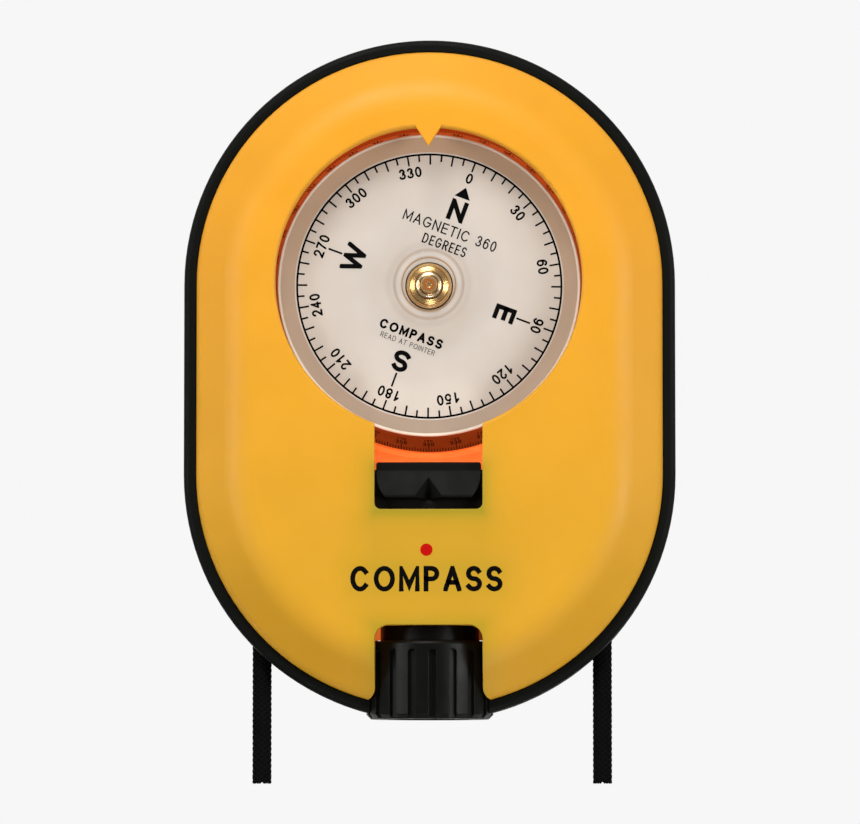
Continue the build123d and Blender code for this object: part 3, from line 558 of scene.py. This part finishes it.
def skin(builder, loops):
    """Joins a row of loops of vertices into a closed tube."""
    sides = len(loops[0])
    for a, b in zip(loops, loops[1:]):
        for k in range(sides):
            m = (k + 1) % sides
            builder.faces.new((a[k], a[m], b[m], b[k]))
    builder.faces.new(loops[0][::-1])
    builder.faces.new(loops[-1])


def around(sides):
    """Angles of a number of even steps round a circle."""
    return [2 * math.pi * k / sides for k in range(sides)]


def swept(builder, centres, radius, sides):
    """Closed tube of the given radius through a line of points."""
    last = len(centres) - 1
    loops = []
    side = None
    for i, centre in enumerate(centres):
        forward = (centres[min(i + 1, last)] - centres[max(i - 1, 0)]).normalized()
        side = forward.orthogonal() if side is None else side - forward * side.dot(forward)
        side.normalize()
        up = forward.cross(side)
        offsets = [(side * math.cos(a) + up * math.sin(a)) * radius for a in around(sides)]
        loops.append([builder.verts.new(centre + offset) for offset in offsets])
    skin(builder, loops)


def smooth(mesh):
    """The mesh, shaded smooth."""
    mesh.polygons.foreach_set("use_smooth", [True] * len(mesh.polygons))
    return mesh


def put(mesh, radius, degrees):
    """Moves a flat mark out to a radius, at an angle clockwise from north, its top outwards."""
    spin = Matrix.Rotation(math.radians(-degrees), 4, "Z")
    mesh.transform(spin @ Matrix.Translation((0, radius, 0)))
    return mesh


def moved(mesh, x, y, z=0.0):
    """The mesh, moved."""
    mesh.transform(Matrix.Translation((x, y, z)))
    return mesh


def on_card(mesh):
    """Turns and lifts marks drawn with north on +Y to where the card's face is."""
    mesh.transform(Matrix.Translation((0, 0, DIAL_Z)) @ Matrix.Rotation(CARD_TURN, 4, "Z"))
    return mesh


# ------------------------------------------------------------------ plain stroke lettering

def arc(middle_x, middle_y, radius_x, radius_y, start, end, steps=14):
    """Points on an ellipse between two angles in degrees, counted anticlockwise from +X."""
    angles = [math.radians(start + (end - start) * i / steps) for i in range(steps + 1)]
    return [(middle_x + radius_x * math.cos(a), middle_y + radius_y * math.sin(a)) for a in angles]


def half_turned(strokes):
    """A character upside down, as a nine is to a six."""
    return [[(1 - x, 1 - y) for x, y in stroke] for stroke in strokes]


SIX = [arc(0.5, 0.32, 0.5, 0.32, 90, 450, 24), [(0, 0.32)] + arc(0.58, 0.5, 0.58, 0.5, 180, 48)]
BOW = [(0, 0), (0, 1), (0.5, 1)] + arc(0.5, 0.745, 0.5, 0.255, 90, -90)[1:] + [(0, 0.49)]

# Each character: its width as a share of its height, and the middle lines of its strokes in a unit square.
CHARACTERS = {
    "0": (0.62, [arc(0.5, 0.5, 0.5, 0.5, 90, 450, 28)]),
    "1": (0.62, [[(0.60, 0), (0.60, 1), (0.12, 0.70)]]),
    "2": (0.62, [arc(0.48, 0.70, 0.48, 0.30, 165, -30) + [(0.58, 0.33), (0, 0), (1, 0)]]),
    "3": (0.62, [arc(0.47, 0.75, 0.43, 0.25, 160, -90) + arc(0.47, 0.25, 0.53, 0.25, 90, -160)]),
    "4": (0.62, [[(0.74, 0), (0.74, 1), (0, 0.28), (1, 0.28)]]),
    "5": (0.62, [[(0.92, 1), (0.2, 1), (0.06, 0.46)] + arc(0.47, 0.33, 0.53, 0.33, 140, -155)]),
    "6": (0.62, SIX),
    "7": (0.62, [[(0, 1), (1, 1), (0.62, 0.55), (0.36, 0)]]),
    "8": (0.62, [arc(0.5, 0.76, 0.42, 0.24, 90, 450, 24), arc(0.5, 0.27, 0.5, 0.27, 90, 450, 24)]),
    "9": (0.62, half_turned(SIX)),
    "A": (0.86, [[(0, 0), (0.5, 1), (1, 0)], [(0.2, 0.32), (0.8, 0.32)]]),
    "C": (0.92, [arc(0.5, 0.5, 0.5, 0.5, 42, 318, 24)]),
    "D": (0.86, [[(0, 0), (0, 1), (0.42, 1)] + arc(0.42, 0.5, 0.58, 0.5, 90, -90)[1:] + [(0, 0)]]),
    "E": (0.70, [[(1, 1), (0, 1), (0, 0), (1, 0)], [(0, 0.52), (0.92, 0.52)]]),
    "G": (0.94, [arc(0.5, 0.5, 0.5, 0.5, 42, 345, 24) + [(0.98, 0.46), (0.56, 0.46)]]),
    "I": (0.0, [[(0.5, 0), (0.5, 1)]]),
    "M": (0.98, [[(0, 0), (0, 1), (0.5, 0.16), (1, 1), (1, 0)]]),
    "N": (0.80, [[(0, 0), (0, 1), (1, 0), (1, 1)]]),
    "O": (1.0, [arc(0.5, 0.5, 0.5, 0.5, 90, 450, 32)]),
    "P": (0.74, [BOW]),
    "R": (0.78, [BOW, [(0.5, 0.49), (1, 0)]]),
    "S": (0.78, [arc(0.5, 0.75, 0.46, 0.25, 28, 255) + arc(0.5, 0.25, 0.5, 0.25, 75, -150)]),
    "T": (0.78, [[(0, 1), (1, 1)], [(0.5, 1), (0.5, 0)]]),
    "W": (1.30, [[(0, 1), (0.26, 0), (0.5, 1), (0.74, 0), (1, 1)]]),
    " ": (0.40, []),
}
MITRE_LIMIT = 0.3


def clipped(outline, axis, limit, side):
    """The part of a convex outline on one side of a line across an axis."""
    kept = []
    for i, b in enumerate(outline):
        a = outline[i - 1]
        inside_a = (a[axis] - limit) * side >= 0
        inside_b = (b[axis] - limit) * side >= 0
        if inside_a != inside_b:
            share = (limit - a[axis]) / (b[axis] - a[axis])
            kept.append(tuple(p + (q - p) * share for p, q in zip(a, b)))
        if inside_b:
            kept.append(b)
    return kept


def stroke_outlines(points, stroke):
    """Four-sided outlines that give a line of points a width."""
    points = [Vector(p) for p in points]
    closed = (points[0] - points[-1]).length < 1e-9
    if not closed:
        points[0] -= (points[1] - points[0]).normalized() * stroke / 2
        points[-1] += (points[-1] - points[-2]).normalized() * stroke / 2
    ways = [(b - a).normalized() for a, b in zip(points, points[1:])]
    edges = []
    for i, point in enumerate(points):
        before = ways[i - 1] if i > 0 else (ways[-1] if closed else ways[0])
        after = ways[i] if i < len(ways) else (ways[0] if closed else ways[-1])
        normal_before = Vector((-before.y, before.x))
        bisector = normal_before + Vector((-after.y, after.x))
        bisector.normalize()
        reach = stroke / 2 / max(MITRE_LIMIT, bisector.dot(normal_before))
        edges.append((point + bisector * reach, point - bisector * reach))
    pairs = zip(edges, edges[1:])
    return [[tuple(p) for p in (a[0], a[1], b[1], b[0])] for a, b in pairs]


def character(letter, left, height, width, stroke):
    """Outlines of one character with its lower left corner at (left, 0)."""
    outlines = []
    for line in CHARACTERS[letter][1]:
        points = []
        for x, y in line:
            points.append((stroke / 2 + x * (width - stroke), stroke / 2 + y * (height - stroke)))
        for outline in stroke_outlines(points, stroke):
            # each limit: the axis it is across, its place and the side to keep
            for axis, limit, side in ((0, 0, 1), (0, width, -1), (1, 0, 1), (1, height, -1)):
                outline = clipped(outline, axis, limit, side)
            if len(outline) > 2:
                outlines.append([(x + left, y) for x, y in outline])
    return outlines


def word(letters, height, stroke, width=None, gap=0.0, thickness=INK):
    """A word of plain strokes, centred on the origin. Given a width, its characters stretch to fill it."""
    gaps = gap * (len(letters) - 1) + stroke * letters.count("I")
    natural = sum(CHARACTERS[c][0] for c in letters) * height
    stretch = (width - gaps) / natural if width else 1.0
    outlines = []
    left = -(natural * stretch + gaps) / 2
    for letter in letters:
        wide = CHARACTERS[letter][0] * height * stretch or stroke
        outlines += character(letter, left, height, wide, stroke)
        left += wide + gap
    mesh = plates(outlines, thickness)
    return moved(mesh, 0, -height / 2)


# ------------------------------------------------------------------ printing on the dial

SCALE_RADIUS = 20.85 * MM      # outer edge of the scale circle
SCALE_LINE = 0.31 * MM
TICK_WIDTH = 0.28 * MM
LONG_TICK = 1.6 * MM
SHORT_TICK = 1.1 * MM
FIGURE_RADIUS = 18.0 * MM
FIGURE_HEIGHT = 1.68 * MM
FIGURE_STROKE = 0.31 * MM
FIGURE_GAP = 0.22 * MM
DASH_RADIUS = 15.7 * MM
DASH_WIDTH = 0.30 * MM
DASH_LENGTH = 2.3 * MM
LETTER_RADIUS = 12.6 * MM
LETTER_HEIGHT = 3.4 * MM
LETTER_STROKE = 0.72 * MM
ARROW_BASE_RADIUS = 14.75 * MM
ARROW_LENGTH = 1.75 * MM
ARROW_HALF_WIDTH = 1.28 * MM

# the dial's words: letters, height, stroke, width, gap and how far their middle is towards north
DIAL_WORDS = (
    ("MAGNETIC 360", 1.72 * MM, 0.22 * MM, 15.4 * MM, 0.30 * MM, 9.3 * MM),
    ("DEGREES", 1.60 * MM, 0.22 * MM, 7.2 * MM, 0.26 * MM, 6.85 * MM),
    ("COMPASS", 1.55 * MM, 0.36 * MM, 10.4 * MM, 0.30 * MM, -8.0 * MM),
    ("READ AT POINTER", 0.85 * MM, 0.09 * MM, 9.0 * MM, 0.16 * MM, -9.65 * MM),
)


def dial_scale():
    """Scale circle, ticks every five degrees, the arrow and the dashes of the cardinal points."""
    marks = [ring(SCALE_RADIUS - SCALE_LINE, SCALE_RADIUS)]
    for degrees in range(0, 360, 5):
        length = LONG_TICK if degrees % 10 == 0 else SHORT_TICK
        middle = SCALE_RADIUS - SCALE_LINE / 2 - length / 2
        marks.append(put(bar(TICK_WIDTH, length), middle, degrees))
    for degrees in (90, 180, 270):
        marks.append(put(bar(DASH_WIDTH, DASH_LENGTH), DASH_RADIUS, degrees))
    arrow = plates([[(-ARROW_HALF_WIDTH, 0), (ARROW_HALF_WIDTH, 0), (0, ARROW_LENGTH)]])
    marks.append(put(arrow, ARROW_BASE_RADIUS, 0))
    return on_card(join("dial_scale", marks))


def dial_figures():
    """Degree figures every thirty degrees and the four cardinal letters."""
    marks = []
    for degrees in range(0, 360, 30):
        figures = word(str(degrees), FIGURE_HEIGHT, FIGURE_STROKE, gap=FIGURE_GAP)
        marks.append(put(figures, FIGURE_RADIUS, degrees))
    for degrees, letter in zip((0, 90, 180, 270), "NESW"):
        marks.append(put(word(letter, LETTER_HEIGHT, LETTER_STROKE), LETTER_RADIUS, degrees))
    return on_card(join("dial_figures", marks))


def dial_words():
    """Plain wording on the two blank parts of the dial."""
    lines = []
    for letters, height, stroke, width, gap, north in DIAL_WORDS:
        lines.append(moved(word(letters, height, stroke, width, gap), 0, north))
    return on_card(join("dial_words", lines))


for maker in (dial_scale, dial_figures, dial_words):
    mesh = maker()
    new_piece(mesh.name, mesh, black_ink, "card")


# ------------------------------------------------------------------ scale on the conical skirt

def on_skirt(mesh, degrees, fall):
    """Wraps a flat mark round the skirt: its middle is at an angle clockwise from north, fall metres below
    the top edge along the slope, with its top towards the dial."""
    height = (SKIRT_TOP_Z - SKIRT_BOTTOM_Z) / SKIRT_SLOPE
    growth = (SKIRT_BOTTOM_RADIUS - RIM_RADIUS) / SKIRT_SLOPE
    down = Vector((growth, -height))
    out = Vector((height, growth))
    for v in mesh.vertices:
        along = fall - v.co.y
        radius = RIM_RADIUS + down.x * along + out.x * v.co.z
        z = SKIRT_TOP_Z + down.y * along + out.y * v.co.z
        angle = math.pi / 2 - math.radians(degrees) + v.co.x / radius
        v.co = (radius * math.cos(angle), radius * math.sin(angle), z)
    mesh.transform(Matrix.Rotation(CARD_TURN, 4, "Z"))
    return mesh


SKIRT_TICK_WIDTH = 0.13 * MM
SKIRT_TICKS = {1: 2.0 * MM, 5: 2.7 * MM, 10: 3.6 * MM}    # length of the ticks at every so many degrees
SKIRT_MARGIN = 0.1 * MM
SKIRT_FIGURE_GAP = 0.12 * MM
SMALL_FIGURES = (1.4 * MM, 0.38 * MM, 0.10 * MM)   # height, width and stroke of one figure
LARGE_FIGURES = (2.1 * MM, 0.52 * MM, 0.16 * MM)
SMALL_FIGURES_FALL = 2.9 * MM                      # how far down the slope their middle is
LARGE_FIGURES_FALL = 5.1 * MM


def narrow_figures(number, height, width, stroke):
    """Tall narrow figures: the eyepiece looks at the skirt from the side."""
    figures = str(number)
    total = len(figures) * (width + SKIRT_FIGURE_GAP) - SKIRT_FIGURE_GAP
    return word(figures, height, stroke, total, SKIRT_FIGURE_GAP)


def skirt_marks():
    """Degree ticks along the lower edge and two rows of figures."""
    marks = []
    for degrees in range(360):
        length = max(ticks for step, ticks in SKIRT_TICKS.items() if degrees % step == 0)
        fall = SKIRT_SLOPE - SKIRT_MARGIN - length / 2
        marks.append(on_skirt(bar(SKIRT_TICK_WIDTH, length), degrees, fall))
    for degrees in range(0, 360, 10):
        small = narrow_figures(degrees, *SMALL_FIGURES)
        marks.append(on_skirt(small, degrees, SMALL_FIGURES_FALL))
        large = narrow_figures((degrees + 180) % 360, *LARGE_FIGURES)
        marks.append(on_skirt(large, degrees, LARGE_FIGURES_FALL))
    return join("skirt_scale", marks)


new_piece("skirt_scale", skirt_marks(), black_ink, "card")


# ------------------------------------------------------------------ printing on the cover

COVER_INK = 0.04 * MM
WORD_STROKE = 0.74 * MM
WORD_GAP = 0.62 * MM
cover_word = word("COMPASS", WORD_HEIGHT, WORD_STROKE, WORD_WIDTH, WORD_GAP, COVER_INK)
new_piece("cover_word", moved(cover_word, *WORD_PLACE), black_ink, "case")

DOT_RADIUS = 0.95 * MM
cover_dot = plates([arc(0, 0, DOT_RADIUS, DOT_RADIUS, 0, 360, 48)[:-1]], COVER_INK)
moved(cover_dot, WORD_PLACE.x, DOT_Y, COVER_TOP_Z)
new_piece("cover_dot", cover_dot, red_ink, "case")


# ------------------------------------------------------------------ braided lanyard

CORD_RADIUS = 1.32 * MM
BRAID_PITCH = 7.0 * MM
BRAID_STEP = BRAID_PITCH / 56
BRAID_STRANDS = 8          # in each direction
STRAND_SIDES = 6
STRAND_HALF_WIDTH = 0.39 * MM
STRAND_HALF_THICKNESS = 0.2 * MM
STRAND_DEPTH = 0.1 * MM    # how far inside the cord's radius the strands run
STRAND_WAVE = 0.11 * MM    # how far they move in and out as they cross
FIBRES = 260
FIBRE_RADIUS = 0.022 * MM
CORE_SHARE = 0.86          # radius of the core, as a share of the cord's
CORE_STEPS = 60


def braid_strand(builder, hand, index, length):
    """One strand of the braid, running down +Y round the cord's axis."""
    count = int(length / BRAID_STEP)
    loops = []
    for i in range(count + 1):
        s = length * i / count
        angle = hand * 2 * math.pi * s / BRAID_PITCH + 2 * math.pi * index / BRAID_STRANDS
        wave = math.cos(2 * math.pi * BRAID_STRANDS * s / BRAID_PITCH)
        radius = CORD_RADIUS - STRAND_DEPTH + hand * STRAND_WAVE * wave
        centre = Vector((radius * math.cos(angle), s, radius * math.sin(angle)))
        outward = Vector((math.cos(angle), 0, math.sin(angle)))
        turn = hand * 2 * math.pi * radius / BRAID_PITCH
        forward = Vector((-math.sin(angle) * turn, 1, math.cos(angle) * turn)).normalized()
        across = forward.cross(outward).normalized()
        loop = []
        for a in around(STRAND_SIDES):
            sideways = across * (STRAND_HALF_WIDTH * math.cos(a))
            outwards = outward * (STRAND_HALF_THICKNESS * math.sin(a))
            loop.append(builder.verts.new(centre + sideways + outwards))
        loops.append(loop)
    skin(builder, loops)


def loose_fibre(builder, length):
    """A short hair standing out of the braid and bending back."""
    angle = random.uniform(0, 2 * math.pi)
    start = random.uniform(0.02, 0.98) * length
    reach = random.uniform(0.05, 0.22) * MM
    run = random.uniform(-0.6, 0.6) * MM
    swing = random.uniform(-0.25, 0.25)
    steps = 4
    centres = []
    for i in range(steps + 1):
        share = i / steps
        radius = CORD_RADIUS + reach * math.sin(share * math.pi * 0.8)
        a = angle + swing * share
        centres.append(Vector((radius * math.cos(a), start + run * share, radius * math.sin(a))))
    swept(builder, centres, FIBRE_RADIUS, 3)


def braided_cord(name, x, y_start, y_end):
    """Braided cord hanging along -Y with a dark core inside."""
    length = abs(y_end - y_start)
    builder = bmesh.new()
    for hand in (1, -1):
        for index in range(BRAID_STRANDS):
            braid_strand(builder, hand, index, length)
    for i in range(FIBRES):
        loose_fibre(builder, length)
    core_line = [Vector((0, length * i / CORE_STEPS, 0)) for i in range(CORE_STEPS + 1)]
    swept(builder, core_line, CORD_RADIUS * CORE_SHARE, 20)
    hang = Matrix.Translation((x, y_start, MID_Z)) @ Matrix.Rotation(math.pi, 4, "Z")
    bmesh.ops.transform(builder, matrix=hang, verts=builder.verts)
    return smooth(finished(builder, name))


KNOT_STRAND_RADIUS = 0.85 * MM
KNOT_SIZE = 0.47 * MM
KNOT_STEPS = 96
KNOT_INSET = 2.3 * MM      # middle of a knot, from the outer end of the cord in the rim
CORD_START_INSET = 3.6 * MM


def stopper_knots(places):
    """Overhand knots: each a thick line that crosses itself three times."""
    builder = bmesh.new()
    for x, y in places:
        middle = Vector((x, y, MID_Z))
        centres = []
        for i in range(KNOT_STEPS + 1):
            t = 2 * math.pi * i / KNOT_STEPS
            knot_x = math.sin(t) + 2 * math.sin(2 * t)
            knot_y = math.cos(t) - 2 * math.cos(2 * t)
            centres.append(middle + KNOT_SIZE * Vector((knot_x, knot_y, -math.sin(3 * t))))
        swept(builder, centres, KNOT_STRAND_RADIUS, 12)
    return smooth(finished(builder, "knots"))


knot_places = []
for side in ("left", "right"):
    body = "lanyard_" + side
    low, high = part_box(body)
    middle_x = (low.x + high.x) / 2
    knot_places.append((middle_x, KNOTS_END_Y - KNOT_INSET))
    cord = braided_cord("cord_" + side, middle_x, KNOTS_END_Y - CORD_START_INSET, low.y)
    piece = new_piece("cord_" + side, cord, cord_fibre, None)
    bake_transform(piece)
    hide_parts(body)

knots = new_piece("cord_stoppers", stopper_knots(knot_places), cord_fibre, "case")
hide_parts("cord_knots")


# ------------------------------------------------------------------ floor, light and camera

BACKDROP = 0.930           # brightness of floor and room as the camera sees them


def pale_backdrop(name):
    """Pale paint that looks evenly lit from everywhere, while it still lights the object softly."""
    material, shader = new_material(name)
    tree = material.node_tree
    tone = spread(material, noise(material, 0.4), BACKDROP * 0.998, BACKDROP * 1.002)
    seen = add(material, "ShaderNodeEmission", {"Color": (1, 1, 1, 1), "Strength": tone})
    shader.inputs["Base Color"].default_value = (0.8, 0.8, 0.8, 1)
    shader.inputs["Roughness"].default_value = 0.9
    camera_ray = add(material, "ShaderNodeLightPath").outputs["Is Camera Ray"]
    mix = {0: camera_ray, 1: shader.outputs[0], 2: seen.outputs[0]}
    straight = add(material, "ShaderNodeMixShader", mix)
    tree.links.new(straight.outputs[0], tree.nodes["Material Output"].inputs["Surface"])
    return material


FLOOR_DROP = 0.10          # the object floats above the floor, so that it casts no visible shadow
FLOOR_HALF_SIZE = 4.0
FLOOR_THICKNESS = 0.002
floor_corners = [(-1, -1), (1, -1), (1, 1), (-1, 1)]
floor_outline = [(x * FLOOR_HALF_SIZE, y * FLOOR_HALF_SIZE) for x, y in floor_corners]
floor_mesh = plates([floor_outline], FLOOR_THICKNESS)
floor = bpy.data.objects.new("floor", floor_mesh)
floor.location = (0, 0, -FLOOR_DROP)
scene.collection.objects.link(floor)
floor_mesh.materials.append(pale_backdrop("floor_paint"))


LOW_ROOM_LIGHT = 0.22
HIGH_ROOM_LIGHT = 0.62


def studio_world():
    """Soft white room: dimmer near the floor, brighter overhead; seen directly it matches the floor."""
    world = bpy.data.worlds.new("studio")
    world.use_nodes = True
    tree = world.node_tree
    background = tree.nodes["Background"]
    direction = tree.nodes.new("ShaderNodeTexCoord").outputs["Generated"]
    split = tree.nodes.new("ShaderNodeSeparateXYZ")
    tree.links.new(direction, split.inputs[0])
    rise = tree.nodes.new("ShaderNodeMapRange")
    rise.inputs["From Min"].default_value = 0.0
    rise.inputs["From Max"].default_value = 0.9
    rise.inputs["To Min"].default_value = LOW_ROOM_LIGHT
    rise.inputs["To Max"].default_value = HIGH_ROOM_LIGHT
    tree.links.new(split.outputs[2], rise.inputs["Value"])
    path = tree.nodes.new("ShaderNodeLightPath")
    choose = tree.nodes.new("ShaderNodeMix")
    choose.inputs[3].default_value = BACKDROP
    tree.links.new(path.outputs["Is Camera Ray"], choose.inputs[0])
    tree.links.new(rise.outputs[0], choose.inputs[2])
    tree.links.new(choose.outputs[0], background.inputs["Strength"])
    return world


scene.world = studio_world()


def soft_box(name, spot, aim, size, power):
    """Square studio light at a spot, facing an aim."""
    data = bpy.data.lights.new(name, "AREA")
    data.size = size
    data.energy = power
    lamp = bpy.data.objects.new(name, data)
    lamp.location = spot
    lamp.rotation_euler = (Vector(aim) - Vector(spot)).to_track_quat("-Z", "Y").to_euler()
    scene.collection.objects.link(lamp)


# name, spot, aim, size in metres and power in watts
STUDIO_LIGHTS = (
    ("far_light", (-0.08, 0.50, 0.38), (0, 0.0, 0), 0.30, 3.9),
    ("left_light", (-0.50, 0.05, 0.36), (0, -0.01, 0), 0.24, 2.05),
    ("right_light", (0.50, 0.00, 0.36), (0, -0.01, 0), 0.24, 2.6),
    ("near_light", (0.06, -0.56, 0.36), (0, -0.02, 0), 0.24, 2.0),
)
for light in STUDIO_LIGHTS:
    soft_box(*light)

CAMERA_TILT = math.radians(4.0)     # back towards the eyepiece
CAMERA_LEAN = math.radians(1.3)     # to the right
FRAME_WIDTH = 0.13514               # width the picture covers at the object's middle height
LENS = 240.0
SENSOR = 36.0
CAMERA_AIM = Vector((0.02 * MM, -19.47 * MM, MID_Z))
camera_data = bpy.data.cameras.new("camera")
camera_data.lens = LENS
camera_data.sensor_width = SENSOR
camera_data.clip_end = 20
camera = bpy.data.objects.new("camera", camera_data)
scene.collection.objects.link(camera)
distance = FRAME_WIDTH * LENS / SENSOR
back = Vector((math.tan(CAMERA_LEAN), -math.tan(CAMERA_TILT), 1)).normalized()
right = Vector((0, 1, 0)).cross(back).normalized()
camera.location = CAMERA_AIM + back * distance
camera.rotation_euler = Matrix((right, back.cross(right), back)).transposed().to_euler()
scene.camera = camera
scene.view_settings.view_transform = "Standard"
